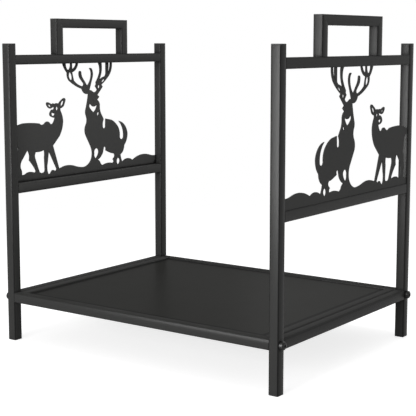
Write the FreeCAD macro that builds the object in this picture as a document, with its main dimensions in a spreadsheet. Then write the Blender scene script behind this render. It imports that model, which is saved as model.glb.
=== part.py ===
import FreeCAD, Part
import os

import Sketcher

# Firewood rack: two welded side frames of square steel tube with a cut-out stag and doe panel,
# a tray bolted between them and a carrying handle on each side.
# Frame: floor centre at the origin, X across the rack, Y from front to back, Z up, millimetres.

doc = FreeCAD.newDocument("log_holder")

# Driving sizes, one cell each
SIZES = [
    ("rack_width", "541", "left to right over the legs' outer faces"),
    ("rack_depth", "418", "front to back over the legs"),
    ("leg_height", "500", "floor to the top of a leg, plugs included"),
    ("tube_width", "16", "side of the square tube"),
    ("tube_wall", "1", "wall of the square tube"),
    ("tube_edge", "0.8", "bevel along the tube's four outer corners"),
    ("top_rail_drop", "19", "leg top down to the top rail's upper face"),
    ("panel_rail_height", "250", "floor to the panel rail's underside"),
    ("base_rail_height", "66", "floor to the underside of the base rails and the tray rails"),
    ("handle_length", "189", "handle from outside to outside"),
    ("handle_rise", "61.5", "top rail's upper face to the top of the handle bar"),
    ("panel_sheet", "1.5", "thickness of the cut-out panel"),
    ("panel_setback", "1.25", "panel's outer face behind the legs' outer faces"),
    ("tray_gap", "1", "room between a tray end rail and the base rail beside it"),
    ("tray_recess", "2", "tray sheet's surface below the rails' upper faces"),
    ("tray_sheet", "1", "thickness of the tray sheet"),
    ("tray_lip", "11", "height of the tray sheet's turned-down edges"),
    ("tray_bend", "1.8", "outer bend radius of the turned-down edges"),
    ("bolt_shank", "6", "bolt diameter"),
    ("bolt_head", "13", "diameter of the dome head"),
    ("bolt_head_height", "6.8", "height of the dome head"),
    ("bolt_side", "4.4", "height of the head's straight side, up to where the dome starts"),
    ("bolt_crown", "7", "diameter of the flat crown around the key socket"),
    ("bolt_key", "4", "width across the flats of the key socket"),
    ("bolt_key_depth", "2", "depth of the key socket"),
    ("bolt_reach", "14", "bolt length inside the tray rail"),
    ("bolt_play", "0.3", "room around the bolt in its holes"),
    ("insert_length", "20", "length of the threaded insert in a tray rail's end"),
    ("insert_play", "0.1", "room around the insert in the tube"),
    ("plug_head", "2", "thickness of a plug's head"),
    ("plug_edge", "0.6", "bevel of the plug head's edge"),
    ("plug_stem", "12", "length of a plug's stem inside the tube"),
    ("plug_stem_wall", "1.6", "wall of the hollow stem"),
    ("plug_play", "0.2", "room around the stem in the tube"),
]

sheet = doc.addObject("Spreadsheet::Sheet", "Sizes")
for row, (alias, value, note) in enumerate(SIZES, start=1):
    sheet.set("A%d" % row, note)
    sheet.set("B%d" % row, value)
    sheet.setAlias("B%d" % row, alias)
doc.recompute()


def size(alias):
    return float(sheet.get(alias))


# Places and lengths that several pieces share, written from the cells above
TUBE = "Sizes.tube_width"
HALF = "Sizes.tube_width / 2"
BORE = "(Sizes.tube_width - 2 * Sizes.tube_wall)"
LEG_X = "(Sizes.rack_width / 2 - Sizes.tube_width / 2)"
LEG_Y = "(Sizes.rack_depth / 2 - Sizes.tube_width / 2)"
LEG_TUBE = "(Sizes.leg_height - 2 * Sizes.plug_head)"
SPAN_X = "(Sizes.rack_width - 2 * Sizes.tube_width)"
SPAN_Y = "(Sizes.rack_depth - 2 * Sizes.tube_width)"
TOP_RAIL_TOP = "(Sizes.leg_height - Sizes.top_rail_drop)"
PANEL_FOOT = "(Sizes.panel_rail_height + Sizes.tube_width)"
TRAY_TOP = "(Sizes.base_rail_height + Sizes.tube_width)"
BOLT_Z = "(Sizes.base_rail_height + Sizes.tube_width / 2)"
TRAY_END_X = "(Sizes.rack_width / 2 - 1.5 * Sizes.tube_width - Sizes.tray_gap)"
TRAY_SHEET_X = "(Sizes.rack_width - 4 * Sizes.tube_width - 2 * Sizes.tray_gap)"

tube_width = size("tube_width")
bore_width = tube_width - 2 * size("tube_wall")

AXIS_X = FreeCAD.Vector(1, 0, 0)
AXIS_Y = FreeCAD.Vector(0, 1, 0)
AXIS_Z = FreeCAD.Vector(0, 0, 1)
UPRIGHT = FreeCAD.Rotation()
HALF_TURN = FreeCAD.Rotation(AXIS_Z, 180)
ALONG_Y = FreeCAD.Rotation(AXIS_X, -90)
ALONG_X = FreeCAD.Rotation(AXIS_Y, 90)
AGAINST_X = FreeCAD.Rotation(AXIS_Y, -90)
UPSIDE_DOWN = FreeCAD.Rotation(AXIS_X, 180)

pieces = []


def new_piece(label):
    body = doc.addObject("PartDesign::Body", label)
    body.Label = label
    pieces.append(body)
    return body


def place(body, x, y, z, turn=UPRIGHT):
    body.Placement = FreeCAD.Placement(FreeCAD.Vector(), turn)
    body.setExpression("Placement.Base.x", x)
    body.setExpression("Placement.Base.y", y)
    body.setExpression("Placement.Base.z", z)
    return body


def set_of(label, bodies):
    """Put fasteners of one kind together as a piece of several solids."""
    group = doc.addObject("Part::Compound", label)
    group.Label = label
    group.Links = bodies
    for body in bodies:
        pieces.remove(body)
    pieces.append(group)


def new_sketch(body, name, plane):
    sketch = body.newObject("Sketcher::SketchObject", name)
    for feature in body.Origin.OriginFeatures:
        if feature.Role == plane:
            sketch.AttachmentSupport = [(feature, "")]
    sketch.MapMode = "FlatFace"
    return sketch


def drive(sketch, constraint, expression):
    index = sketch.addConstraint(constraint)
    sketch.setExpression("Constraints[%d]" % index, expression)


def fix_point(sketch, geo, end, x, y):
    """Tie one end of a line to a distance from the sketch's origin, or to an axis where that is None."""
    point = sketch.getPoint(geo, end)
    if x is None:
        sketch.addConstraint(Sketcher.Constraint("PointOnObject", geo, end, -2))
    else:
        drive(sketch, Sketcher.Constraint("DistanceX", -1, 1, geo, end, point.x), x)
    if y is None:
        sketch.addConstraint(Sketcher.Constraint("PointOnObject", geo, end, -1))
    else:
        drive(sketch, Sketcher.Constraint("DistanceY", -1, 1, geo, end, point.y), y)


def polygon(sketch, corners):
    """A closed polygon; each corner is (x, y, x expression, y expression)."""
    first = sketch.GeometryCount
    count = len(corners)
    for i in range(count):
        start = FreeCAD.Vector(corners[i][0], corners[i][1], 0)
        end = FreeCAD.Vector(corners[(i + 1) % count][0], corners[(i + 1) % count][1], 0)
        sketch.addGeometry(Part.LineSegment(start, end), False)
    for i in range(count):
        following = first + (i + 1) % count
        sketch.addConstraint(Sketcher.Constraint("Coincident", first + i, 2, following, 1))
    for i in range(count):
        fix_point(sketch, first + i, 1, corners[i][2], corners[i][3])


def rectangle(sketch, length, width, length_expression, width_expression):
    """A rectangle centred on the sketch's origin."""
    half_x = "(%s) / 2" % length_expression
    half_y = "(%s) / 2" % width_expression
    polygon(sketch, [
        (-length / 2, -width / 2, "-" + half_x, "-" + half_y),
        (length / 2, -width / 2, half_x, "-" + half_y),
        (length / 2, width / 2, half_x, half_y),
        (-length / 2, width / 2, "-" + half_x, half_y),
    ])


def square(sketch, side, side_expression):
    rectangle(sketch, side, side, side_expression, side_expression)


def bevelled_square(sketch, side, edge, side_expression, edge_expression):
    """A square with bevelled corners, centred on the sketch's origin."""
    far = side / 2
    near = side / 2 - edge
    far_text = "(%s) / 2" % side_expression
    near_text = "((%s) / 2 - %s)" % (side_expression, edge_expression)
    polygon(sketch, [
        (near, -far, near_text, "-" + far_text),
        (far, -near, far_text, "-" + near_text),
        (far, near, far_text, near_text),
        (near, far, near_text, far_text),
        (-near, far, "-" + near_text, far_text),
        (-far, near, "-" + far_text, near_text),
        (-far, -near, "-" + far_text, "-" + near_text),
        (-near, -far, "-" + near_text, "-" + far_text),
    ])


def circle(sketch, x, y, radius, x_expression, y_expression, radius_expression):
    index = sketch.addGeometry(Part.Circle(FreeCAD.Vector(x, y, 0), AXIS_Z, radius), False)
    fix_point(sketch, index, 3, x_expression, y_expression)
    drive(sketch, Sketcher.Constraint("Radius", index, radius), radius_expression)


def pad(body, sketch, length, reverse=False):
    feature = body.newObject("PartDesign::Pad", sketch.Name + "_pad")
    feature.Profile = sketch
    feature.setExpression("Length", length)
    feature.Reversed = reverse
    sketch.Visibility = False
    return feature


def cut_through(body, sketch):
    feature = body.newObject("PartDesign::Pocket", sketch.Name + "_cut")
    feature.Profile = sketch
    feature.SideType = "Symmetric"
    feature.Type = "ThroughAll"
    return feature


def cut_depth(body, sketch, depth, reverse=False):
    feature = body.newObject("PartDesign::Pocket", sketch.Name + "_cut")
    feature.Profile = sketch
    feature.setExpression("Length", depth)
    feature.Reversed = reverse
    return feature


def edges_where(feature, test):
    names = []
    for number, edge in enumerate(feature.Shape.Edges, start=1):
        if test(edge):
            names.append("Edge%d" % number)
    return names


def fillet(body, feature, names, radius):
    rounding = body.newObject("PartDesign::Fillet", feature.Name + "_round")
    rounding.Base = (feature, names)
    rounding.setExpression("Radius", radius)
    return rounding


def tube(label, length):
    """A length of square tube along its own Z axis."""
    body = new_piece(label)
    section = new_sketch(body, label + "_section", "XY_Plane")
    bevelled_square(section, tube_width, size("tube_edge"), TUBE, "Sizes.tube_edge")
    square(section, bore_width, BORE)
    pad(body, section, length)
    return body


def leg(label):
    """A leg's tube, with the bolt's hole through both walls."""
    body = tube(label, LEG_TUBE)
    hole = new_sketch(body, label + "_hole", "YZ_Plane")
    height = size("base_rail_height") + tube_width / 2 - size("plug_head")
    radius = size("bolt_shank") / 2 + size("bolt_play")
    circle(hole, 0, height, radius, None, BOLT_Z + " - Sizes.plug_head",
           "Sizes.bolt_shank / 2 + Sizes.bolt_play")
    cut_through(body, hole)
    return body


def handle_post(label):
    """A short upright tube, mitred at the top towards +Y."""
    body = tube(label, "Sizes.handle_rise")
    mitre = new_sketch(body, label + "_mitre", "YZ_Plane")
    side = tube_width
    rise = size("handle_rise")
    high = "Sizes.handle_rise + Sizes.tube_width / 2"
    low = "Sizes.handle_rise - 1.5 * Sizes.tube_width"
    polygon(mitre, [
        (-side, rise + side / 2, "-" + TUBE, high),
        (side, rise - 1.5 * side, TUBE, low),
        (side, rise + side / 2, TUBE, high),
    ])
    cut_through(body, mitre)
    return body


def handle_bar(label):
    """The grip, mitred at both ends so that its upper side is the long one."""
    body = tube(label, "Sizes.handle_length")
    mitre = new_sketch(body, label + "_mitre", "YZ_Plane")
    side = tube_width
    length = size("handle_length")
    polygon(mitre, [
        (-side, -side / 2, "-" + TUBE, "-" + HALF),
        (side, -side / 2, TUBE, "-" + HALF),
        (side, 1.5 * side, TUBE, "1.5 * Sizes.tube_width"),
    ])
    polygon(mitre, [
        (-side, length + side / 2, "-" + TUBE, "Sizes.handle_length + Sizes.tube_width / 2"),
        (side, length - 1.5 * side, TUBE, "Sizes.handle_length - 1.5 * Sizes.tube_width"),
        (side, length + side / 2, TUBE, "Sizes.handle_length + Sizes.tube_width / 2"),
    ])
    cut_through(body, mitre)
    return body


# The stag and doe, drawn on a grid of 386 by 199 that is stretched over the window between the two
# legs, the panel rail and the top rail. A path starts at its first point and goes on from there:
# two numbers are a straight line to that point, and four are an arc through the first point to the
# second.
GRID_WIDTH = 386.0
GRID_HEIGHT = 199.0

GROUND = [
    (386, 0), (386, 17), (376, 17.5, 367, 19.4), (344, 21.8, 315.5, 13.3), (299.5, 17.8, 285, 12.4),
]

STAG_BACK = [
    (282.2, 18.4, 280, 26.5), (287.4, 32.4, 291.2, 43.4), (298.4, 53.2, 301, 66), (294.6, 79.6, 275.2, 90),
    (284.6, 79.6, 288.9, 61), (283.7, 55.2, 278.5, 61), (276.8, 74, 270.5, 83), (263, 89.2, 254, 93.6),
    (238.4, 96.4), (237.8, 82), (234.2, 78.5, 230.6, 83), (230.8, 89.6, 233.4, 95.6), (225.4, 107.6),
    (223.2, 114.6, 223, 122.6), (220.8, 128.2, 216.2, 132), (222, 137), (217, 140.8), (231.6, 155.2),
]

FAR_ANTLER = [
    (228.2, 158.8), (238.4, 165.6, 248, 173.6), (254.8, 182.4, 258, 199), (252.4, 199),
    (251, 188, 245.4, 178.6), (247.8, 187, 248.4, 199), (240.4, 199), (240.3, 181),
    (238.7, 175.6, 234.4, 173.2), (227, 170.6, 220.2, 165), (227.4, 177.6, 229, 199), (219.6, 199),
    (223.3, 189.5, 222.6, 180), (218.4, 171.8, 212.4, 163.6), (213, 160.2, 210.4, 157.2), (215.8, 150.4),
    (209.2, 146, 203.4, 147.6), (199.6, 149.8, 195.3, 150.2),
]

NEAR_ANTLER = [
    (204.2, 173.2), (205.1, 181, 202.2, 188.4), (199, 190, 195.3, 189.2), (198.8, 184.8, 199.8, 178.4),
    (196.8, 167.4, 189.4, 158.4), (179, 170.8), (175.4, 176.2, 174, 182.4), (170.8, 185.2, 167.6, 182.4),
    (168.2, 175.4, 171.6, 170.4), (179.2, 162.8), (179, 159.4, 174.4, 158), (163.8, 162, 154.4, 168.4),
    (150.3, 183), (160.2, 188.4, 166, 199), (160.4, 199), (156.8, 192.4, 150.2, 189),
    (150.2, 199), (145.2, 199), (144, 191, 139.8, 187), (135.4, 191.8, 134, 199), (125.4, 199),
    (130.6, 189.4, 136.6, 182.8), (137.4, 174.8, 141.8, 168.4), (157, 159.6, 174.6, 153),
    (180.4, 145.6, 191.6, 143.2),
]

STAG_FRONT = [
    (188.8, 130, 185, 117), (183.5, 110.6, 185.2, 104.2), (187, 97, 185.4, 89.6),
    (181.4, 79.6, 183.4, 69.4), (195.6, 49.4), (199.9, 36.5, 198, 25.4), (189, 15.8, 175, 12.2),
    (164, 13.6, 153, 16.4), (132.6, 19, 113.2, 14.8),
]

DOE = [
    (98.4, 56.6), (114.4, 71.4), (121.8, 84, 124.8, 98), (122.8, 108.6, 118.5, 116.8), (118.3, 120.6),
    (123.4, 122.2, 127.6, 125), (131.4, 133.4), (130.6, 137.6, 126.6, 138.4), (119.4, 134.4, 113.2, 128.8),
    (108.6, 130.4, 103.8, 128.8), (100, 130.4, 96.4, 128.8), (91.4, 131.5, 86, 133),
    (83.6, 131.6, 83.6, 128.8), (87.2, 123.9, 93, 121.4), (97.2, 122.5, 100.8, 124.4),
    (102.2, 123.2), (102.1, 121), (100.2, 119.6), (97, 119.8), (93, 116.6, 91, 113),
    (91.4, 110, 93.6, 108), (98.2, 105.9, 104, 105),
    (102, 100.2, 98.8, 95.8), (95, 94.4, 91.4, 96.6), (85.4, 99.6, 79.4, 97.8), (72.2, 94.7, 65.6, 97.4),
    (46, 99.4, 26, 99.7), (12.8, 97.1, 0, 92.4), (0, 84.6), (7.6, 81.6, 10.2, 74), (12.8, 62),
    (13.9, 56, 11.6, 49.6), (9, 30, 11.4, 13), (7, 10.8, 0, 14), (0, 0),
]

OUTLINE = [(0, 0)] + GROUND + STAG_BACK + FAR_ANTLER + NEAR_ANTLER + STAG_FRONT + DOE

OPENINGS = {
    "stag_belly": [
        (237, 37.8), (247, 33.4, 257, 30.2), (262.6, 27.2, 261.4, 22.6), (257.4, 19.4), (259.8, 17.4),
        (260.2, 14.2), (257.4, 12.6), (244, 13.9, 230, 11.2), (224.8, 13.2, 222.4, 17),
        (219.8, 20, 216.2, 22), (224.4, 27, 229.8, 33.6), (233, 44), (236.4, 43.8, 237, 37.8)],
    "doe_hind_legs": [
        (35.5, 53), (39.6, 44.6, 39, 35.6), (47.4, 26.8, 54.4, 17), (54.2, 14.9), (53.2, 13.9), (51, 13.8),
        (42, 15.7, 33, 14.8), (27, 12.2, 21.4, 12.4), (21.5, 18, 19, 23.4), (18.8, 30.4, 22.2, 37),
        (35.5, 53)],
    "doe_belly": [
        (55.6, 48.4), (65.4, 48.3, 75.6, 50.6), (76.7, 44.6, 76, 38), (76.9, 16), (76.4, 13.6), (75, 12.1),
        (72.6, 11.5), (67.6, 11.5, 63.8, 13.6), (53.9, 38), (53.4, 44, 55.6, 48.4)],
    "doe_forelegs": [
        (87.6, 47.6), (106, 15.6), (105.8, 13.6), (104.2, 12.2), (101.4, 12.3), (97.8, 13.9, 94.2, 13.2),
        (89.8, 8.4), (87.9, 7.4), (85.8, 8.2), (84, 11.4), (82.9, 19.4, 84.2, 27.6), (87.6, 47.6)],
    "stag_muzzle": [
        (197, 126.2), (206.4, 119.7, 215.8, 125.2), (212.4, 116.2, 205.8, 109.6),
        (199.8, 113.8, 194.6, 119.4), (194.8, 123.6, 197, 126.2)],
    "stag_throat": [(219.4, 109.6), (220, 107.4), (219.3, 105.1), (217.8, 103.4), (216, 102.8),
                    (215.2, 104.4), (215.5, 106.8), (217.1, 108.8), (219.4, 109.6)],
    "stag_forelegs": [
        (211.2, 43.2), (216.6, 40.6, 217.6, 35), (214.8, 29.6, 210.2, 25), (207, 28, 206.3, 34),
        (207.4, 40.6, 211.2, 43.2)],
    "stag_hind_legs": [
        (272.4, 20.8), (276.4, 18.6, 277.6, 14.4), (275.6, 10.6, 272, 8.6), (268.9, 14.8, 272.4, 20.8)],
    "near_antler": [(144.2, 183.8), (141.5, 176.2, 148.6, 169), (148.9, 176.6, 144.2, 183.8)],
    "far_antler": [(228.6, 163.4), (230.6, 166.4), (233.4, 168.2), (237, 168.8), (234.8, 165.8),
                   (231.8, 163.9), (228.6, 163.4)],
    "far_burr": [(220.6, 158.6), (222.2, 157.7), (223, 155.5), (222.2, 153.3), (220.6, 152.4),
                 (219, 153.3), (218.2, 155.5), (219, 157.7), (220.6, 158.6)],
    "doe_near_ear": [(88, 128.3), (90.6, 128.4), (93, 127.2), (94.4, 125), (92.2, 124.6), (89.6, 125.8),
                     (88, 128.3)],
    "doe_far_ear": [(119.8, 124.2), (120.4, 130.4, 126.6, 134), (124.2, 127.6, 119.8, 124.2)],
    "doe_eye": [(109.6, 124.6), (111.1, 123.2), (111.8, 121), (111, 118.6), (109.4, 117.4), (107.8, 118.6),
                (107.1, 121), (108, 123.3), (109.6, 124.6)],
    "doe_muzzle": [(97, 115), (100, 113, 103.6, 112.6), (99.2, 108.5, 97, 115)],
}


def deer_panel(label):
    """The laser-cut sheet: its outline and its openings in one sketch, padded to the sheet's thickness."""
    body = new_piece(label)
    drawing = new_sketch(body, label + "_drawing", "YZ_Plane")
    window_width = size("rack_depth") - 2 * tube_width
    rail_underside = size("leg_height") - size("top_rail_drop") - tube_width
    window_height = rail_underside - size("panel_rail_height") - tube_width

    def at(u, v):
        return FreeCAD.Vector(u * window_width / GRID_WIDTH, v * window_height / GRID_HEIGHT, 0)

    def trace(path):
        here = at(*path[0])
        for step in path[1:]:
            there = at(*step[-2:])
            if len(step) == 2:
                drawing.addGeometry(Part.LineSegment(here, there), False)
            else:
                drawing.addGeometry(Part.Arc(here, at(*step[:2]), there), False)
            here = there

    trace(OUTLINE)
    for opening in OPENINGS.values():
        trace(opening)
    pad(body, drawing, "Sizes.panel_sheet")
    return body


def tray_sheet(label):
    """The sheet that carries the logs, with its four edges turned down."""
    body = new_piece(label)
    length = size("rack_width") - 4 * tube_width - 2 * size("tray_gap")
    width = size("rack_depth") - 2 * tube_width
    outside = new_sketch(body, label + "_outside", "XY_Plane")
    rectangle(outside, length, width, TRAY_SHEET_X, SPAN_Y)
    block = pad(body, outside, "Sizes.tray_lip", reverse=True)
    doc.recompute()
    rim = edges_where(block, lambda edge: abs(edge.BoundBox.ZMin) < 1e-6)
    bend = fillet(body, block, rim, "Sizes.tray_bend")
    hollow = new_sketch(body, label + "_hollow", "XY_Plane")
    hollow.setExpression("AttachmentOffset.Base.z", "-Sizes.tray_sheet")
    rectangle(hollow, length - 2 * size("tray_sheet"), width - 2 * size("tray_sheet"),
              TRAY_SHEET_X + " - 2 * Sizes.tray_sheet", SPAN_Y + " - 2 * Sizes.tray_sheet")
    underside = cut_depth(body, hollow, "Sizes.tray_lip")
    doc.recompute()
    level = -size("tray_sheet")
    corner = edges_where(underside, lambda edge: abs(edge.BoundBox.ZMin - level) < 1e-6
                         and abs(edge.BoundBox.ZMax - level) < 1e-6)
    fillet(body, underside, corner, "Sizes.tray_bend - Sizes.tray_sheet")
    return body


def dome_bolt(label):
    """A dome-head bolt along its own Z axis, with its head below the origin and a key socket in it."""
    body = new_piece(label)
    profile = new_sketch(body, label + "_profile", "XZ_Plane")
    shank = size("bolt_shank") / 2
    head = size("bolt_head") / 2
    height = size("bolt_head_height")
    side = size("bolt_side")
    crown = size("bolt_crown") / 2
    end = tube_width + size("bolt_reach")
    length = "Sizes.tube_width + Sizes.bolt_reach"
    polygon(profile, [
        (0, end, None, length),
        (shank, end, "Sizes.bolt_shank / 2", length),
        (shank, 0, "Sizes.bolt_shank / 2", None),
        (head, 0, "Sizes.bolt_head / 2", None),
        (head, -side, "Sizes.bolt_head / 2", "-Sizes.bolt_side"),
        (crown, -height, "Sizes.bolt_crown / 2", "-Sizes.bolt_head_height"),
        (0, -height, None, "-Sizes.bolt_head_height"),
    ])
    turned = body.newObject("PartDesign::Revolution", label + "_turned")
    turned.Profile = profile
    turned.ReferenceAxis = (profile, ["V_Axis"])
    turned.Angle = 360
    socket = new_sketch(body, label + "_socket", "XY_Plane")
    socket.setExpression("AttachmentOffset.Base.z", "-Sizes.bolt_head_height")
    half_key = size("bolt_key") / 2
    corner = half_key / 0.75 ** 0.5
    out = "Sizes.bolt_key / sqrt(3)"
    half_out = "Sizes.bolt_key / sqrt(12)"
    flat = "Sizes.bolt_key / 2"
    polygon(socket, [
        (corner, 0, out, None),
        (corner / 2, half_key, half_out, flat),
        (-corner / 2, half_key, "-" + half_out, flat),
        (-corner, 0, "-" + out, None),
        (-corner / 2, -half_key, "-" + half_out, "-" + flat),
        (corner / 2, -half_key, half_out, "-" + flat),
    ])
    cut_depth(body, socket, "Sizes.bolt_key_depth", reverse=True)
    return body


def rail_insert(label):
    """A square insert that fills the end of a tray rail and takes the bolt."""
    body = new_piece(label)
    section = new_sketch(body, label + "_section", "XY_Plane")
    square(section, bore_width - 2 * size("insert_play"), BORE + " - 2 * Sizes.insert_play")
    circle(section, 0, 0, size("bolt_shank") / 2 + size("bolt_play"), None, None,
           "Sizes.bolt_shank / 2 + Sizes.bolt_play")
    pad(body, section, "Sizes.insert_length")
    return body


def tube_plug(label):
    """A plug with a flat head the size of the tube and a hollow stem above it."""
    body = new_piece(label)
    outline = new_sketch(body, label + "_head", "XY_Plane")
    bevelled_square(outline, tube_width, size("tube_edge"), TUBE, "Sizes.tube_edge")
    head = pad(body, outline, "Sizes.plug_head", reverse=True)
    doc.recompute()
    level = -size("plug_head")
    outer_rim = edges_where(head, lambda edge: abs(edge.BoundBox.ZMax - level) < 1e-6)
    bevel = body.newObject("PartDesign::Chamfer", label + "_bevel")
    bevel.Base = (head, outer_rim)
    bevel.setExpression("Size", "Sizes.plug_edge")
    stem = new_sketch(body, label + "_stem", "XY_Plane")
    stem_width = bore_width - 2 * size("plug_play")
    stem_side = BORE + " - 2 * Sizes.plug_play"
    square(stem, stem_width, stem_side)
    square(stem, stem_width - 2 * size("plug_stem_wall"), stem_side + " - 2 * Sizes.plug_stem_wall")
    pad(body, stem, "Sizes.plug_stem")
    return body


# Two side frames, the right one being the left one turned half a turn about Z
for side, sign, turn in (("left", "-", UPRIGHT), ("right", "", HALF_TURN)):
    back = "" if sign else "-"
    x = sign + LEG_X
    for corner, y in (("front", "-" + LEG_Y), ("rear", LEG_Y)):
        place(leg("%s_%s_leg" % (side, corner)), x, y, "Sizes.plug_head")
        place(tube_plug("%s_%s_foot_plug" % (side, corner)), x, y, "Sizes.plug_head")
        place(tube_plug("%s_%s_top_plug" % (side, corner)), x, y, "Sizes.leg_height - Sizes.plug_head",
              UPSIDE_DOWN)
    rail_start = "-" + SPAN_Y + " / 2"
    place(tube(side + "_top_rail", SPAN_Y), x, rail_start, TOP_RAIL_TOP + " - " + HALF, ALONG_Y)
    place(tube(side + "_panel_rail", SPAN_Y), x, rail_start, "Sizes.panel_rail_height + " + HALF, ALONG_Y)
    place(tube(side + "_base_rail", SPAN_Y), x, rail_start, BOLT_Z, ALONG_Y)
    post_y = "(Sizes.handle_length / 2 - Sizes.tube_width / 2)"
    place(handle_post(side + "_handle_front_post"), x, "-" + post_y, TOP_RAIL_TOP)
    place(handle_post(side + "_handle_rear_post"), x, post_y, TOP_RAIL_TOP, HALF_TURN)
    place(handle_bar(side + "_handle_bar"), x, "-Sizes.handle_length / 2",
          TOP_RAIL_TOP + " + Sizes.handle_rise - " + HALF, ALONG_Y)
    place(deer_panel(side + "_deer_panel"), sign + "(Sizes.rack_width / 2 - Sizes.panel_setback)",
          sign + SPAN_Y + " / 2", PANEL_FOOT, turn)

# The tray: four rails round a recessed sheet
for corner, y in (("front", "-" + LEG_Y), ("rear", LEG_Y)):
    place(tube("tray_%s_rail" % corner, SPAN_X), "-" + SPAN_X + " / 2", y, BOLT_Z, ALONG_X)
for side, sign in (("left", "-"), ("right", "")):
    place(tube("tray_%s_rail" % side, SPAN_Y), sign + TRAY_END_X, "-" + SPAN_Y + " / 2", BOLT_Z, ALONG_Y)
place(tray_sheet("tray_sheet"), "0", "0", TRAY_TOP + " - Sizes.tray_recess")

# A bolt through each leg into the insert in a tray rail's end
bolts = []
inserts = []
for side, sign, turn in (("left", "-", ALONG_X), ("right", "", AGAINST_X)):
    for corner, y in (("front", "-" + LEG_Y), ("rear", LEG_Y)):
        bolt = dome_bolt("%s_%s_bolt" % (side, corner))
        insert = rail_insert("%s_%s_insert" % (side, corner))
        bolts.append(place(bolt, sign + "Sizes.rack_width / 2", y, BOLT_Z, turn))
        inserts.append(place(insert, sign + SPAN_X + " / 2", y, BOLT_Z, turn))
set_of("frame_bolts", bolts)
set_of("rail_inserts", inserts)

doc.recompute()

for thing in doc.Objects:
    if "Invalid" in thing.State or "Error" in thing.State:
        raise RuntimeError("%s did not recompute: %s" % (thing.Label, thing.State))
for piece in pieces:
    if piece.Shape.isNull() or not piece.Shape.isValid():
        raise RuntimeError("%s has no valid shape" % piece.Label)
    wanted = len(piece.Links) if piece.TypeId == "Part::Compound" else 1
    if len(piece.Shape.Solids) != wanted:
        raise RuntimeError("%s has %d solids" % (piece.Label, len(piece.Shape.Solids)))

os.makedirs("parts", exist_ok=True)
for piece in pieces:
    piece.Shape.exportStep("parts/%s.step" % piece.Label)
    print("%-26s %10.1f mm3" % (piece.Label, piece.Shape.Volume))
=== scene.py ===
# %% [markdown]
# A firewood rack in satin black
#
# The real thing is a rack of welded square tube with a low tray, a carrying handle on each side and a
# laser-cut sheet with a stag and a doe in each side frame. All of it is powder coated black. The solids come
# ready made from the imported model, so this lesson is about what turns them into a photograph: the coat, the
# bolts, the light and the camera. Every length is in metres and every piece is already in its place.

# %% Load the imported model
import math

import bmesh
import bpy
from mathutils import Matrix, Vector


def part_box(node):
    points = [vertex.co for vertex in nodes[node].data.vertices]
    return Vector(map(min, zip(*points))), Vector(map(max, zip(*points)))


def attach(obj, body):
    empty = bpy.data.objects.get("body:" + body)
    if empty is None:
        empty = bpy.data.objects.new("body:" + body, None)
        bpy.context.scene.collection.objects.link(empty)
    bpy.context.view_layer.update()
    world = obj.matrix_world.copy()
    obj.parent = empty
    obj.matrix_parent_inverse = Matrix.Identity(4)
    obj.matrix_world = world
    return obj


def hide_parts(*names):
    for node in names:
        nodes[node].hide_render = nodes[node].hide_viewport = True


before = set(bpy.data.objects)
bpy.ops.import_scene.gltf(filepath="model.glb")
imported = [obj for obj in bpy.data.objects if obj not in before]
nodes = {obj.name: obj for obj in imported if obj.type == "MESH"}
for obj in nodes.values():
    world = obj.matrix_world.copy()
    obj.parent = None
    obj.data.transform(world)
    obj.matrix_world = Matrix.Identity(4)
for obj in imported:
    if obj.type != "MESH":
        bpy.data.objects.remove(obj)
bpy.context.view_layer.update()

print("nodes:", len(nodes))

# %% [markdown]
# Four finishes cover the whole rack: the black coat on all the steel, the black plating of the bolts, the
# plastic of the plugs and the zinc of the inserts inside the tray rails. The black ones share a handful of
# effects: grain, rubbed edges, the crown of a tube's faces, soot and dark joints. They could be painted as
# pictures, but nodes keep their real size on every piece. Each effect is a node group, made once and placed
# in a material with that material's own values. Three small helpers make a group with named sockets, add a
# node with its inputs set or joined, and do a sum. An input goes by its name or by its number, since some
# nodes use one name for several.

# %% Helpers for node trees
def new_group(name, inputs, outputs):
    tree = bpy.data.node_groups.new(name, "ShaderNodeTree")
    for label, kind, value in inputs:
        socket = tree.interface.new_socket(name=label, in_out="INPUT", socket_type=kind)
        if value is not None:
            socket.default_value = value
    for label, kind in outputs:
        tree.interface.new_socket(name=label, in_out="OUTPUT", socket_type=kind)
    return tree


def add(tree, kind, links=None, **settings):
    """A node with its settings, and its inputs set to a value or joined to another node's output."""
    node = tree.nodes.new(kind)
    for key, value in settings.items():
        setattr(node, key, value)
    for key, value in (links or {}).items():
        if isinstance(value, bpy.types.NodeSocket):
            tree.links.new(value, node.inputs[key])
        else:
            node.inputs[key].default_value = value
    return node


def math_node(tree, operation, first, second=None, clamp=False):
    links = {0: first}
    if second is not None:
        links[1] = second
    return add(tree, "ShaderNodeMath", links, operation=operation, use_clamp=clamp).outputs[0]


print("helpers: new_group, add, math_node")

# %% [markdown]
# Powder coat is plastic powder melted onto the steel. It is even, but not as flat as glass: it has a very
# fine grain of about half a millimetre and a soft waviness of a few millimetres, like orange peel. Bumps made
# by two noise textures give both at their real size, because object coordinates are in metres. The same noise
# also moves the roughness a little, which breaks up the reflections as it does on the real coat.

# %% Node group: the coat's grain
FINE_SHARE = 0.35
WAVE_SHARE = 0.65


def object_place(tree):
    return add(tree, "ShaderNodeTexCoord").outputs["Object"]


def noise(tree, place, scale, detail, roughness=0.5):
    links = {"Vector": place, "Scale": scale, "Detail": detail, "Roughness": roughness}
    return add(tree, "ShaderNodeTexNoise", links).outputs[0]


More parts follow.
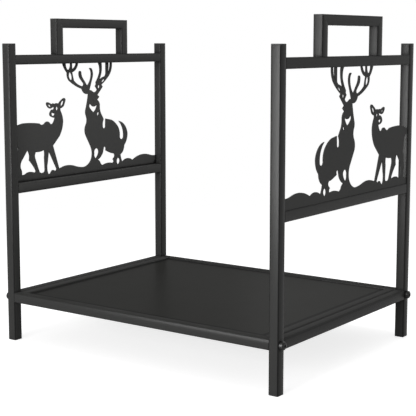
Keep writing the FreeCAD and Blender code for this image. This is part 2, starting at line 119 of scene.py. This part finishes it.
grain = new_group(
    "coat_grain",
    [("Grain size", "NodeSocketFloat", 0.0006), ("Wave size", "NodeSocketFloat", 0.006)],
    [("Height", "NodeSocketFloat"), ("Speckle", "NodeSocketFloat")],
)
grain_in = grain.nodes.new("NodeGroupInput")
grain_out = grain.nodes.new("NodeGroupOutput")
place = object_place(grain)
fine_scale = math_node(grain, "DIVIDE", 1.0, grain_in.outputs["Grain size"])
wave_scale = math_node(grain, "DIVIDE", 1.0, grain_in.outputs["Wave size"])
fine = noise(grain, place, fine_scale, detail=2.0, roughness=0.55)
wave = noise(grain, place, wave_scale, detail=1.0, roughness=0.4)
small = math_node(grain, "MULTIPLY", fine, FINE_SHARE)
large = math_node(grain, "MULTIPLY", wave, WAVE_SHARE)
grain.links.new(math_node(grain, "ADD", small, large), grain_out.inputs["Height"])
grain.links.new(fine, grain_out.inputs["Speckle"])
print("group:", grain.name, len(grain.nodes), "nodes")

# %% [markdown]
# A coat is thinner on a sharp edge, and that is where hands, logs and tools rub it first. An edge can be
# found without any painting: the bevel node gives the normal that the surface would have with rounded edges,
# and where this differs from the true normal there is an edge. The same rounded normal is passed on, since a
# coated tube has no knife-sharp corner and its edges catch a thin line of light.

# %% Node group: rounded edges and their wear
EDGE_GAIN = 6.0
PATCH_SCALE = 60.0
PATCH_FLOOR = 0.35


def dot(tree, first, second):
    return add(tree, "ShaderNodeVectorMath", {0: first, 1: second}, operation="DOT_PRODUCT").outputs["Value"]


edges = new_group(
    "coat_edges",
    [("Radius", "NodeSocketFloat", 0.001), ("Wear", "NodeSocketFloat", 0.3)],
    [("Normal", "NodeSocketVector"), ("Rub", "NodeSocketFloat")],
)
edges_in = edges.nodes.new("NodeGroupInput")
edges_out = edges.nodes.new("NodeGroupOutput")
rounded = add(edges, "ShaderNodeBevel", {"Radius": edges_in.outputs["Radius"]}, samples=6).outputs["Normal"]
true_normal = add(edges, "ShaderNodeNewGeometry").outputs["True Normal"]
bend = math_node(edges, "SUBTRACT", 1.0, dot(edges, rounded, true_normal), clamp=True)
bend = math_node(edges, "MULTIPLY", bend, EDGE_GAIN, clamp=True)
rub_place = object_place(edges)
patches = noise(edges, rub_place, PATCH_SCALE, detail=4.0, roughness=0.6)
patchy = math_node(edges, "SUBTRACT", patches, PATCH_FLOOR, clamp=True)
rubbed = math_node(edges, "MULTIPLY", bend, patchy)
rubbed = math_node(edges, "MULTIPLY", rubbed, edges_in.outputs["Wear"], clamp=True)
edges.links.new(rounded, edges_out.inputs["Normal"])
edges.links.new(rubbed, edges_out.inputs["Rub"])
print("group:", edges.name, len(edges.nodes), "nodes")

# %% [markdown]
# Square tube is rolled from a round one, and its four faces keep a slight crown that turns into rounded
# corners. That is why a tube's face doesn't mirror a soft box as a flat mirror would: a soft band of light
# lies along it and fades to the sides. The generated coordinates run from 0 to 1 across each tube, so here
# they are spread from -1 to 1, and the normal is turned outwards in step with them: evenly for the crown, and
# by their fifth power for the corner, which stays small until close to the edge. A tube's own length is left
# out by a vector that is 0 along it.
#
# The corner itself looks away from the lamps, so a thin dark line of painted shade is put there in the
# colour. On a face one coordinate is 1, so the sum of their squares grows from 1 in the middle to 2 at the
# corner and tells how close it is. Two inputs say at which sum the line begins and where it is full.

# %% Node group: the crown of a tube's faces and the painted shade of its corners
def vector_node(tree, operation, first, second):
    return add(tree, "ShaderNodeVectorMath", {0: first, 1: second}, operation=operation).outputs[0]


def scaled(tree, vector, scale):
    return add(tree, "ShaderNodeVectorMath", {0: vector, "Scale": scale}, operation="SCALE").outputs[0]


def map_range(tree, value, start, end, low=0.0, high=1.0, smooth=False):
    """Low where the value is at the start, high where it is at the end, and on the way between them."""
    links = {0: value, 1: start, 2: end, 3: low, 4: high}
    kind = "SMOOTHSTEP" if smooth else "LINEAR"
    return add(tree, "ShaderNodeMapRange", links, interpolation_type=kind).outputs[0]


crown = new_group(
    "tube_crown",
    [("Normal", "NodeSocketVector", None), ("Across", "NodeSocketVector", None),
     ("Crown", "NodeSocketFloat", 0.4), ("Corner", "NodeSocketFloat", 0.3),
     ("Line from", "NodeSocketFloat", 1.55), ("Line full", "NodeSocketFloat", 1.8)],
    [("Normal", "NodeSocketVector"), ("Line", "NodeSocketFloat")],
)
crown_in = crown.nodes.new("NodeGroupInput")
crown_out = crown.nodes.new("NodeGroupOutput")
share = add(crown, "ShaderNodeTexCoord").outputs["Generated"]
aside = vector_node(crown, "SUBTRACT", scaled(crown, share, 2.0), (1.0, 1.0, 1.0))
aside = vector_node(crown, "MULTIPLY", aside, crown_in.outputs["Across"])
squared = vector_node(crown, "MULTIPLY", aside, aside)
fifth = vector_node(crown, "MULTIPLY", vector_node(crown, "MULTIPLY", squared, squared), aside)
lean = vector_node(crown, "ADD", scaled(crown, aside, crown_in.outputs["Crown"]),
                   scaled(crown, fifth, crown_in.outputs["Corner"]))
turned = vector_node(crown, "ADD", crown_in.outputs["Normal"], lean)
turned = add(crown, "ShaderNodeVectorMath", {0: turned}, operation="NORMALIZE").outputs[0]
crown.links.new(turned, crown_out.inputs["Normal"])
near = dot(crown, aside, aside)
# The painted shade along the tube's corners, where the faces turn away from the lamps.
line = map_range(crown, near, crown_in.outputs["Line from"], crown_in.outputs["Line full"], smooth=True)
crown.links.new(line, crown_out.inputs["Line"])
print("group:", crown.name, len(crown.nodes), "nodes")

# %% [markdown]
# Anything that stands by a hearth gathers a trace of soot on what faces up, and the tops are also painted
# darker as shade. Together they take the coat a shade darker there and dull it, so that tops of rails don't
# shine. The upward part of the normal says where, and a soft noise makes it uneven. The group puts out two
# masks: the soot with its painted shade, and how far a face lies flat.

# %% Node group: soot and painted shade on faces that look up
DRIFT_SCALE = 9.0
LYING_POWER = 3.0

top_soot_shade = new_group(
    "soot_and_top_shade",
    [("Amount", "NodeSocketFloat", 0.1)],
    [("Soot and shade", "NodeSocketFloat"), ("Lying", "NodeSocketFloat")],
)
soot_in = top_soot_shade.nodes.new("NodeGroupInput")
soot_out = top_soot_shade.nodes.new("NodeGroupOutput")
facing = add(top_soot_shade, "ShaderNodeNewGeometry").outputs["Normal"]
upward = add(top_soot_shade, "ShaderNodeSeparateXYZ", {0: facing}).outputs["Z"]
lying = math_node(top_soot_shade, "POWER", math_node(top_soot_shade, "MAXIMUM", upward, 0.0), LYING_POWER)
soot_place = object_place(top_soot_shade)
drift = noise(top_soot_shade, soot_place, DRIFT_SCALE, detail=5.0, roughness=0.6)
# Soot and painted shade on the faces that look up.
settled = math_node(top_soot_shade, "MULTIPLY", lying, drift)
settled = math_node(top_soot_shade, "MULTIPLY", settled, soot_in.outputs["Amount"], clamp=True)
top_soot_shade.links.new(settled, soot_out.inputs["Soot and shade"])
top_soot_shade.links.new(lying, soot_out.inputs["Lying"])
print("group:", top_soot_shade.name, len(top_soot_shade.nodes), "nodes")

# %% [markdown]
# Where one tube butts against another, soot and dust stay in the corner and little light comes in, so every
# joint is given a fine dark line in its colour: partly dirt, partly painted shade. The ambient occlusion node
# measures this: it looks a few millimetres around each point and says how much of that room is open. A floor
# is taken off the closed part: with a high floor only deep corners get the painted shade, such as the inner
# side of a panel's foot, and shallow ones stay clean.

# %% Node group: the dark line in the joints, partly dirt and partly painted shade
joints = new_group(
    "joint_shade",
    [("Reach", "NodeSocketFloat", 0.005), ("Floor", "NodeSocketFloat", 0.0),
     ("Depth", "NodeSocketFloat", 1.3)],
    [("Shade", "NodeSocketFloat")],
)
joints_in = joints.nodes.new("NodeGroupInput")
joints_out = joints.nodes.new("NodeGroupOutput")
open_share = add(joints, "ShaderNodeAmbientOcclusion", {"Distance": joints_in.outputs["Reach"]},
                 samples=8).outputs["AO"]
# The closed share darkens the colour: dirt in the joint and painted shade in the corner.
shut = math_node(joints, "SUBTRACT", 1.0, open_share, clamp=True)
shut = math_node(joints, "SUBTRACT", shut, joints_in.outputs["Floor"], clamp=True)
shut = math_node(joints, "MULTIPLY", shut, joints_in.outputs["Depth"], clamp=True)
joints.links.new(shut, joints_out.inputs["Shade"])
print("group:", joints.name, len(joints.nodes), "nodes")

# %% [markdown]
# The black finishes differ only in numbers: how black they are, how rough, how strongly they reflect, how
# coarse their grain is and how much their edges are rubbed. One function builds such a material from these
# numbers, which is less work than a tree by hand for each, and keeps them alike. The colour is layered: the
# coat, the rubbed edges, the soot with painted shade on tops, then the dark joints with painted shade in deep
# corners, and painted shade along the corners of the tubes. The reflection is weak for a plastic, because a
# matting agent in the powder dulls it.
#
# A sheet that lies a little below its frame is in shade along its border, so a band of painted shade goes
# there. The way in from the border is the half size less the place on the sheet, and the shorter of the two
# ways counts.

# %% A function for the black finishes
SOOT_AND_SHADE_BLACK = (0.012, 0.012, 0.011, 1)
DIRT_AND_SHADE_BLACK = (0.006, 0.006, 0.006, 1)
CORNER_LEAN = 0.3
BAND_FULL = 0.008
BAND_ENDS = 0.011
BORDER_SHADE_DARK = 0.6
GRAIN_RELIEF = 0.0002
SPECKLE_LOW = 0.3
SPECKLE_HIGH = 0.7
ROUGH_SPREAD = 0.03


def blank_material(name):
    """A material, its tree and the one node that it starts with, the output."""
    material = bpy.data.materials.new(name)
    material.use_nodes = True
    material.node_tree.nodes.clear()
    return material, material.node_tree, add(material.node_tree, "ShaderNodeOutputMaterial")


def placed(tree, group, links):
    """A node group, placed in a material with its own values."""
    return add(tree, "ShaderNodeGroup", links, node_tree=group)


def blended(tree, share, under, over):
    """The colour under, covered by the colour over where the share is 1."""
    return add(tree, "ShaderNodeMix", {0: share, 6: under, 7: over}, data_type="RGBA").outputs[2]


def border_shade(tree, half_size):
    """How far a sheet is covered by the painted shade along its border."""
    spot = object_place(tree)
    spot = add(tree, "ShaderNodeVectorMath", {0: spot}, operation="ABSOLUTE").outputs[0]
    inset = add(tree, "ShaderNodeSeparateXYZ", {0: vector_node(tree, "SUBTRACT", half_size, spot)})
    inset = math_node(tree, "MINIMUM", inset.outputs["X"], inset.outputs["Y"])
    return map_range(tree, inset, BAND_FULL, BAND_ENDS, BORDER_SHADE_DARK, 0.0, smooth=True)


def black_finish(name, colour, worn, rough, dull, gloss, grain_size, wave_size, bump, radius, wear, soot_and_shade,
                 joint_reach=0.005, joint_floor=0.0, joint_depth=1.3, across=None, crown_lean=0.4,
                 line_from=1.55, line_full=1.8, line_dark=0.75, half_size=None):
    """A black material. A tube's across adds its crown and corner lines, a sheet's half_size its painted
    border shade.
    """
    material, tree, out = blank_material(name)
    shader = add(tree, "ShaderNodeBsdfPrincipled", {"Specular IOR Level": gloss, "Metallic": 0.0})
    tree.links.new(shader.outputs[0], out.inputs["Surface"])

    peel = placed(tree, grain, {"Grain size": grain_size, "Wave size": wave_size})
    rim = placed(tree, edges, {"Radius": radius, "Wear": wear})
    film = placed(tree, top_soot_shade, {"Amount": soot_and_shade})
    corner = placed(tree, joints, {"Reach": joint_reach, "Floor": joint_floor, "Depth": joint_depth})

    tone = blended(tree, rim.outputs["Rub"], (*colour, 1), (*worn, 1))
    # Soot and painted shade on the faces that look up.
    tone = blended(tree, film.outputs["Soot and shade"], tone, SOOT_AND_SHADE_BLACK)
    # Dark joints, partly dirt and partly painted shade in deep corners.
    tone = blended(tree, corner.outputs["Shade"], tone, DIRT_AND_SHADE_BLACK)
    normal = rim.outputs["Normal"]
    if across:
        arch = placed(tree, crown, {"Normal": normal, "Across": across, "Crown": crown_lean,
                                    "Corner": CORNER_LEAN, "Line from": line_from, "Line full": line_full})
        normal = arch.outputs["Normal"]
        # The corner line is painted shade, put into the colour.
        lined = math_node(tree, "MULTIPLY", arch.outputs["Line"], line_dark)
        tone = blended(tree, lined, tone, DIRT_AND_SHADE_BLACK)
    # Painted shade along the border of a sheet that lies below its frame.
    if half_size:
        tone = blended(tree, border_shade(tree, half_size), tone, DIRT_AND_SHADE_BLACK)
    tree.links.new(tone, shader.inputs["Base Color"])

    uneven = map_range(tree, peel.outputs["Speckle"], SPECKLE_LOW, SPECKLE_HIGH,
                       rough - ROUGH_SPREAD, rough + ROUGH_SPREAD)
    dulled = add(tree, "ShaderNodeMix", {0: film.outputs["Lying"], 2: uneven, 3: dull},
                 data_type="FLOAT").outputs[0]
    tree.links.new(dulled, shader.inputs["Roughness"])
    relief = add(tree, "ShaderNodeBump", {"Strength": bump, "Distance": GRAIN_RELIEF,
                                          "Height": peel.outputs["Height"], "Normal": normal})
    tree.links.new(relief.outputs[0], shader.inputs["Normal"])
    return material


print("layers of a black finish: coat, rubbed edges, soot, joints, corners, border")

# %% [markdown]
# The tubes, the cut-out panels and the tray sheet carry the same coat, yet they don't look the same in the
# photograph. The flat sheet is a little smoother, so that it mirrors the legs softly, and it is a touch
# warmer. The panels are matt. The sheet lies around the middle of the model, so the upper corner of its box
# is its half size.
#
# A tube needs to know which way it runs, so there are two coats for uprights, three for rails that run from
# front to back and one for the tray's two long rails. They differ a little. The handles and the top rails are
# painted a shade lighter and the rails under the panels lighter still, to stand in for light that falls short
# on them. The top rails and the rails under the panels have deep joints with the panels. The lower rails have
# wide, weak lines of painted shade along their corners, and the long rails are rounder and carry more soot
# and painted shade on top.

# %% The coats of the steel
# The lighter blacks are the same coat, painted lighter to stand in for light that falls short on those faces.
COAT_BLACK = (0.038, 0.038, 0.0372)
LIT_PAINTED_BLACK = (0.042, 0.042, 0.0412)
MIDDLE_BLACK = (0.05, 0.05, 0.049)
LOW_BLACK = (0.037, 0.037, 0.0363)
TUBE_WAYS = {
    "upright": dict(across=(1, 1, 0), colour=COAT_BLACK, soot_and_shade=0.65),
    "post": dict(across=(1, 1, 0), colour=LIT_PAINTED_BLACK, soot_and_shade=0.65),
    "upper": dict(across=(1, 0, 1), colour=LIT_PAINTED_BLACK, soot_and_shade=0.2, line_from=1.35, line_full=1.85,
                  line_dark=0.5, joint_depth=2.0),
    "middle": dict(across=(1, 0, 1), colour=MIDDLE_BLACK, soot_and_shade=0.2, line_from=1.35, line_full=1.85,
                   line_dark=0.25, joint_depth=2.0),
    "lower": dict(across=(1, 0, 1), colour=LOW_BLACK, soot_and_shade=0.2, line_from=1.2, line_full=1.65,
                  line_dark=0.38, joint_depth=0.3),
    "long": dict(across=(0, 1, 1), colour=COAT_BLACK, soot_and_shade=1.0, crown_lean=0.75, line_dark=0.35,
                 joint_depth=0.3),
}

tube_coats = {}
for way, own in TUBE_WAYS.items():
    tube_coats[way] = black_finish(
        "tube_coat_" + way, worn=(0.076, 0.076, 0.076), rough=0.28, dull=0.95, gloss=0.04, grain_size=0.0006,
        wave_size=0.005, bump=0.25, radius=0.0006, wear=0.25, **own)
# The panels' black is painted lighter than the tubes' to stand in for light that their faces lack.
panel_coat = black_finish(
    "panel_coat", colour=(0.061, 0.061, 0.0598), worn=(0.093, 0.093, 0.093), rough=0.55, dull=0.9,
    gloss=0.03, grain_size=0.0006, wave_size=0.005, bump=0.35, radius=0.0004, wear=0.25, soot_and_shade=0.6,
    joint_reach=0.010, joint_floor=0.3, joint_depth=10.0)
sheet_coat = black_finish(
    "sheet_coat", colour=(0.0255, 0.0255, 0.0242), worn=(0.046, 0.046, 0.046), rough=0.3, dull=0.34,
    gloss=0.0012, grain_size=0.0006, wave_size=0.008, bump=0.2, radius=0.0012, wear=0.2, soot_and_shade=0.3,
    joint_depth=0.2, half_size=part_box("tray_sheet")[1])
print("tube coats:", sorted(tube_coats))
print("other coats:", panel_coat.name, sheet_coat.name)

# %% [markdown]
# The small pieces aren't powder coated. A bolt is plated, a thin hard layer that is darker and shines more,
# and a plug is moulded plastic with a coarser grain. Trees of their own would only repeat the coat's, so the
# same function makes both.

# %% The bolts' plating and the plugs' plastic
bolt_plating = black_finish(
    "bolt_plating", colour=(0.016, 0.016, 0.0157), worn=(0.026, 0.026, 0.026), rough=0.38, dull=0.45,
    gloss=0.16, grain_size=0.0003, wave_size=0.003, bump=0.15, radius=0.0004, wear=0.4, soot_and_shade=0.3)
plug_plastic = black_finish(
    "plug_plastic", colour=(0.03, 0.03, 0.03), worn=(0.045, 0.045, 0.045), rough=0.55, dull=0.9,
    gloss=0.12, grain_size=0.0008, wave_size=0.004, bump=0.5, radius=0.0006, wear=0.3, soot_and_shade=0.6)
print("finishes of the small pieces:", bolt_plating.name, plug_plastic.name)

# %% [markdown]
# The inserts are plain zinc-plated steel. The finished rack hides them, but they get the streaky grain of
# drawn bar all the same: a noise stretched along the bar, in colour and in roughness. It is a metal, so it
# has a tree of its own instead of the black finishes' function.

# %% The inserts' zinc
STREAK_SCALE = (60.0, 1500.0, 1500.0)
ZINC_DARK = (0.5, 0.5, 0.51, 1)
ZINC_LIGHT = (0.6, 0.6, 0.6, 1)
ZINC_SMOOTH = 0.3
ZINC_ROUGH = 0.48

zinc, zinc_tree, zinc_out = blank_material("insert_zinc")
zinc_shader = add(zinc_tree, "ShaderNodeBsdfPrincipled", {"Metallic": 1.0})
zinc_tree.links.new(zinc_shader.outputs[0], zinc_out.inputs["Surface"])
zinc_place = object_place(zinc_tree)
drawn = add(zinc_tree, "ShaderNodeMapping", {"Vector": zinc_place, "Scale": STREAK_SCALE}).outputs[0]
streaks = noise(zinc_tree, drawn, scale=1.0, detail=3.0)
zinc_tree.links.new(blended(zinc_tree, streaks, ZINC_DARK, ZINC_LIGHT), zinc_shader.inputs["Base Color"])
zinc_rough = map_range(zinc_tree, streaks, 0.0, 1.0, ZINC_SMOOTH, ZINC_ROUGH)
zinc_tree.links.new(zinc_rough, zinc_shader.inputs["Roughness"])
print("zinc:", len(zinc_tree.nodes), "nodes")

# %% [markdown]
# A node's finish follows from what it is. The names tell: a plug, an insert, a bolt, a panel, the sheet, and
# the rest is tube. The solids keep their own mesh and only their material slots change.

# %% Give each node its finish
def finish_of(name):
    if name.endswith("_plug"):
        return plug_plastic
    if name == "rail_inserts":
        return zinc
    if name == "frame_bolts":
        return bolt_plating
    if name.endswith("_deer_panel"):
        return panel_coat
    if name == "tray_sheet":
        return sheet_coat
    if name.endswith("_leg"):
        return tube_coats["upright"]
    if name.endswith("_post"):
        return tube_coats["post"]
    if name in ("tray_front_rail", "tray_rear_rail"):
        return tube_coats["long"]
    if name.endswith("_panel_rail"):
        return tube_coats["middle"]
    if name.startswith("tray_") or name.endswith("_base_rail"):
        return tube_coats["lower"]
    return tube_coats["upper"]


counts = {}
for name, piece in nodes.items():
    finish = finish_of(name)
    piece.data.materials.clear()
    piece.data.materials.append(finish)
    counts[finish.name] = counts.get(finish.name, 0) + 1
print("finishes:", counts)

# %% [markdown]
# A dome-head bolt is a small turned piece, but its head stands out from the leg and shows in the outline of
# the rack, so it deserves a smooth dome. The solid of the bolt has a straight side and a plain bevel. A cut
# sphere would be quick, but its edges would be wrong. So the bolt is made again as rings of points: a circle
# for each step of the profile, with a quarter round from the side to the crown, then a hexagon for the key
# socket. Each ring is joined to the one before it by a band of quads. Levels count from the underside of the
# head: the shank goes up from there and the head goes down.

# %% A bolt as a stack of rings
SEGMENTS = 48
SHANK_RADIUS = 0.003
SHANK_BEVEL = 0.0006
SHANK_LENGTH = 0.030
HEAD_RADIUS = 0.0065
HEAD_BEVEL = 0.0003
SIDE_HEIGHT = 0.0040
HEAD_HEIGHT = 0.0068
CROWN_RADIUS = 0.0030
KEY_RADIUS = 0.0020
KEY_RIM = 0.00012
KEY_RIM_DROP = 0.00015
KEY_DEPTH = 0.0020
DOME_STEPS = 8


def circle_ring(radius, level):
    ring = []
    for i in range(SEGMENTS):
        angle = 2 * math.pi * i / SEGMENTS
        ring.append(Vector((radius * math.cos(angle), radius * math.sin(angle), level)))
    return ring


def hexagon_ring(inner, level):
    """Points on a hexagon, one on the ray of each point of a circle ring."""
    ring = []
    for i in range(SEGMENTS):
        angle = 2 * math.pi * i / SEGMENTS
        within = (angle + math.pi / 6) % (math.pi / 3) - math.pi / 6
        radius = inner / math.cos(within)
        ring.append(Vector((radius * math.cos(angle), radius * math.sin(angle), level)))
    return ring


def bolt_rings():
    rings = [circle_ring(SHANK_RADIUS - SHANK_BEVEL, SHANK_LENGTH)]
    rings.append(circle_ring(SHANK_RADIUS, SHANK_LENGTH - SHANK_BEVEL))
    rings.append(circle_ring(SHANK_RADIUS, 0.0))
    rings.append(circle_ring(HEAD_RADIUS - HEAD_BEVEL, 0.0))
    rings.append(circle_ring(HEAD_RADIUS, -HEAD_BEVEL))
    for step in range(DOME_STEPS + 1):
        turn = math.pi / 2 * step / DOME_STEPS
        radius = CROWN_RADIUS + (HEAD_RADIUS - CROWN_RADIUS) * math.cos(turn)
        rings.append(circle_ring(radius, -SIDE_HEIGHT - (HEAD_HEIGHT - SIDE_HEIGHT) * math.sin(turn)))
    rings.append(hexagon_ring(KEY_RADIUS + KEY_RIM, -HEAD_HEIGHT))
    rings.append(hexagon_ring(KEY_RADIUS, -HEAD_HEIGHT + KEY_RIM_DROP))
    rings.append(hexagon_ring(KEY_RADIUS, -HEAD_HEIGHT + KEY_DEPTH))
    return rings


print("rings in a bolt:", len(bolt_rings()), "of", SEGMENTS, "points")

# %% [markdown]
# The four bolts make one object, as they do in the model. Each one is the same stack of rings, turned so that
# its head stands against the outer face of a leg. Their places come from the box of the node they replace.

# %% Four bolts through the legs
SHARP_ANGLE = math.radians(35)

low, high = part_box("frame_bolts")
bolt_mesh = bpy.data.meshes.new("dome_bolts")
build = bmesh.new()
for sign in (-1, 1):
    for y in (low[1] + HEAD_RADIUS, high[1] - HEAD_RADIUS):
        face_x = (high[0] - HEAD_HEIGHT) * sign
        turn = Matrix.Rotation(math.radians(-90 * sign), 4, "Y")
        seat = Matrix.Translation((face_x, y, (low[2] + high[2]) / 2)) @ turn
        stack = [[build.verts.new(seat @ point) for point in ring] for ring in bolt_rings()]
        for lower, upper in zip(stack, stack[1:]):
            for i in range(SEGMENTS):
                after = (i + 1) % SEGMENTS
                build.faces.new((lower[i], lower[after], upper[after], upper[i]))
        build.faces.new(stack[0])
        build.faces.new(stack[-1])
bmesh.ops.recalc_face_normals(build, faces=build.faces)
build.to_mesh(bolt_mesh)
build.free()
bolt_mesh.materials.append(bolt_plating)
bolts = bpy.data.objects.new("dome_bolts", bolt_mesh)
bpy.context.scene.collection.objects.link(bolts)
bolt_mesh.shade_smooth()
bolt_mesh.set_sharp_from_angle(angle=SHARP_ANGLE)
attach(bolts, "root")
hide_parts("frame_bolts")
print("bolts:", len(bolt_mesh.polygons), "faces")

# %% [markdown]
# The floor is a plain white board and the background is white too. A camera should see pure white, yet the
# floor has to keep the soft shadow under the rack. More light would bleach the rack as well. So for rays
# from the camera the board glows a little on top of the light that falls on it: in the open the sum is
# white, and under the rack the shadow is left over. Further out, and in reflections, the board is a plain
# white glow, so no horizon shows.

# %% Floor
FLOOR_SIZE = 14.0
BOARD_PAINT = (0.6, 0.6, 0.6, 1)
SHADOW_GLOW = 0.76
FADE_FROM = 0.7
FADE_TO = 1.6

bpy.ops.mesh.primitive_plane_add(size=FLOOR_SIZE, location=(0, 0, 0))
floor = bpy.context.object
floor.name = "studio_floor"
board, board_tree, board_out = blank_material("white_board")
board_path = add(board_tree, "ShaderNodeLightPath")
board_mirrored = math_node(board_tree, "MAXIMUM", board_path.outputs["Is Glossy Ray"],
                           board_path.outputs["Is Transmission Ray"])
board_place = object_place(board_tree)
board_reach = add(board_tree, "ShaderNodeVectorMath", {0: board_place}, operation="LENGTH").outputs["Value"]
board_far = map_range(board_tree, board_reach, FADE_FROM, FADE_TO, smooth=True)
board_paint = add(board_tree, "ShaderNodeBsdfDiffuse", {"Color": BOARD_PAINT})
board_lift = math_node(board_tree, "MULTIPLY", board_path.outputs["Is Camera Ray"], SHADOW_GLOW)
board_lift = add(board_tree, "ShaderNodeEmission", {"Strength": board_lift})
board_near = add(board_tree, "ShaderNodeAddShader", {0: board_paint.outputs[0], 1: board_lift.outputs[0]})
board_glow = add(board_tree, "ShaderNodeEmission", {"Strength": 1.0})
board_plain = math_node(board_tree, "MULTIPLY", board_path.outputs["Is Camera Ray"], board_far)
board_plain = math_node(board_tree, "MAXIMUM", board_plain, board_mirrored)
board_mix = add(board_tree, "ShaderNodeMixShader", {0: board_plain, 1: board_near.outputs[0],
                                                    2: board_glow.outputs[0]})
board_tree.links.new(board_mix.outputs[0], board_out.inputs["Surface"])
floor.data.materials.append(board)
print("floor:", floor.name, FLOOR_SIZE, "m")

# %% [markdown]
# The world is the white room around the rack. It shows as white to the camera and in reflections, and it
# lights the rack from all sides with about half of that, so that no face falls to black.

# %% World
ROOM_LIGHT = 0.53

world = bpy.data.worlds.new("white_room")
bpy.context.scene.world = world
world.use_nodes = True
world_tree = world.node_tree
world_tree.nodes.clear()
world_out = add(world_tree, "ShaderNodeOutputWorld")
world_path = add(world_tree, "ShaderNodeLightPath")
world_seen = math_node(world_tree, "MAXIMUM", world_path.outputs["Is Camera Ray"],
                       world_path.outputs["Is Glossy Ray"])
world_seen = math_node(world_tree, "MAXIMUM", world_seen, world_path.outputs["Is Transmission Ray"])
world_strength = map_range(world_tree, world_seen, 0.0, 1.0, ROOM_LIGHT, 1.0)
world_glow = add(world_tree, "ShaderNodeBackground", {"Color": (1, 1, 1, 1), "Strength": world_strength})
world_tree.links.new(world_glow.outputs[0], world_out.inputs["Surface"])
print("world:", world.name, ROOM_LIGHT)

# %% [markdown]
# The photograph has its brightest faces towards the front: the front of the right leg and of its handle,
# then the upper edge of the front rail. That is the mirror image of a soft box close in front of the rack,
# strongest on the right and fading to the left. A lamp so close would also flood the front with plain light,
# so the gleam box and its weaker wing show only in the gloss. So does the dim card behind the rack, whose
# blurred image makes the tray sheet lighter towards the right. The plain light comes from a large key box
# further away and from a small box overhead, which lights the tray. No lamp shows to the camera.

# %% Lamps
def soft_box(name, place, target, width, height, power, gloss_only=False):
    lamp = bpy.data.lights.new(name, "AREA")
    lamp.shape = "RECTANGLE"
    lamp.size = width
    lamp.size_y = height
    lamp.energy = power
    holder = bpy.data.objects.new(name, lamp)
    bpy.context.scene.collection.objects.link(holder)
    holder.location = place
    holder.rotation_euler = (Vector(target) - Vector(place)).to_track_quat("-Z", "Y").to_euler()
    holder.visible_camera = False
    holder.visible_diffuse = not gloss_only
    print("lamp:", name, power, "W")


soft_box("key_box", place=(0.05, -1.90, 0.5), target=(0.0, 0.0, 0.3),
         width=1.0, height=0.8, power=20)
soft_box("gleam_box", place=(0.15, -1.00, 0.32), target=(0.15, 0.0, 0.32),
         width=0.6, height=0.44, power=28, gloss_only=True)
soft_box("gleam_wing", place=(-0.38, -1.00, 0.32), target=(-0.38, 0.0, 0.32),
         width=0.42, height=0.44, power=12, gloss_only=True)
soft_box("top_box", place=(0.10, -0.10, 1.25), target=(0.0, 0.0, 0.1),
         width=0.5, height=0.5, power=6)
soft_box("back_card", place=(-0.30, 1.00, 0.62), target=(-0.20, 0.0, 0.30),
         width=0.6, height=0.5, power=2.8, gloss_only=True)

# %% [markdown]
# The camera stands in front of the rack and to its right, level with the tops of the legs. Its place and lens
# were worked out from the corners of the rack in the photograph, with the image taken as 416 by 416 pixels.
# The view is tilted down a little, and a small shift moves the frame down for the rest. A shift alone would
# keep the legs upright, but seen from other sides it would push the rack out of the picture.

# %% Camera
TILT = 0.1288
HEADING = 0.6242
STANDPOINT = (1.0923, -1.5197, 0.5020)
FOCAL_LENGTH = 96.89
FRAME_SHIFT = -0.05

lens_data = bpy.data.cameras.new("photo_camera")
camera = bpy.data.objects.new("photo_camera", lens_data)
bpy.context.scene.collection.objects.link(camera)
lens_data.sensor_width = 36.0
lens_data.lens = FOCAL_LENGTH
lens_data.shift_y = FRAME_SHIFT
camera.location = STANDPOINT
camera.rotation_euler = (math.pi / 2 - TILT, 0.0, HEADING)
bpy.context.scene.camera = camera
bpy.context.scene.view_settings.view_transform = "Standard"
print("camera:", [round(v, 3) for v in camera.location])
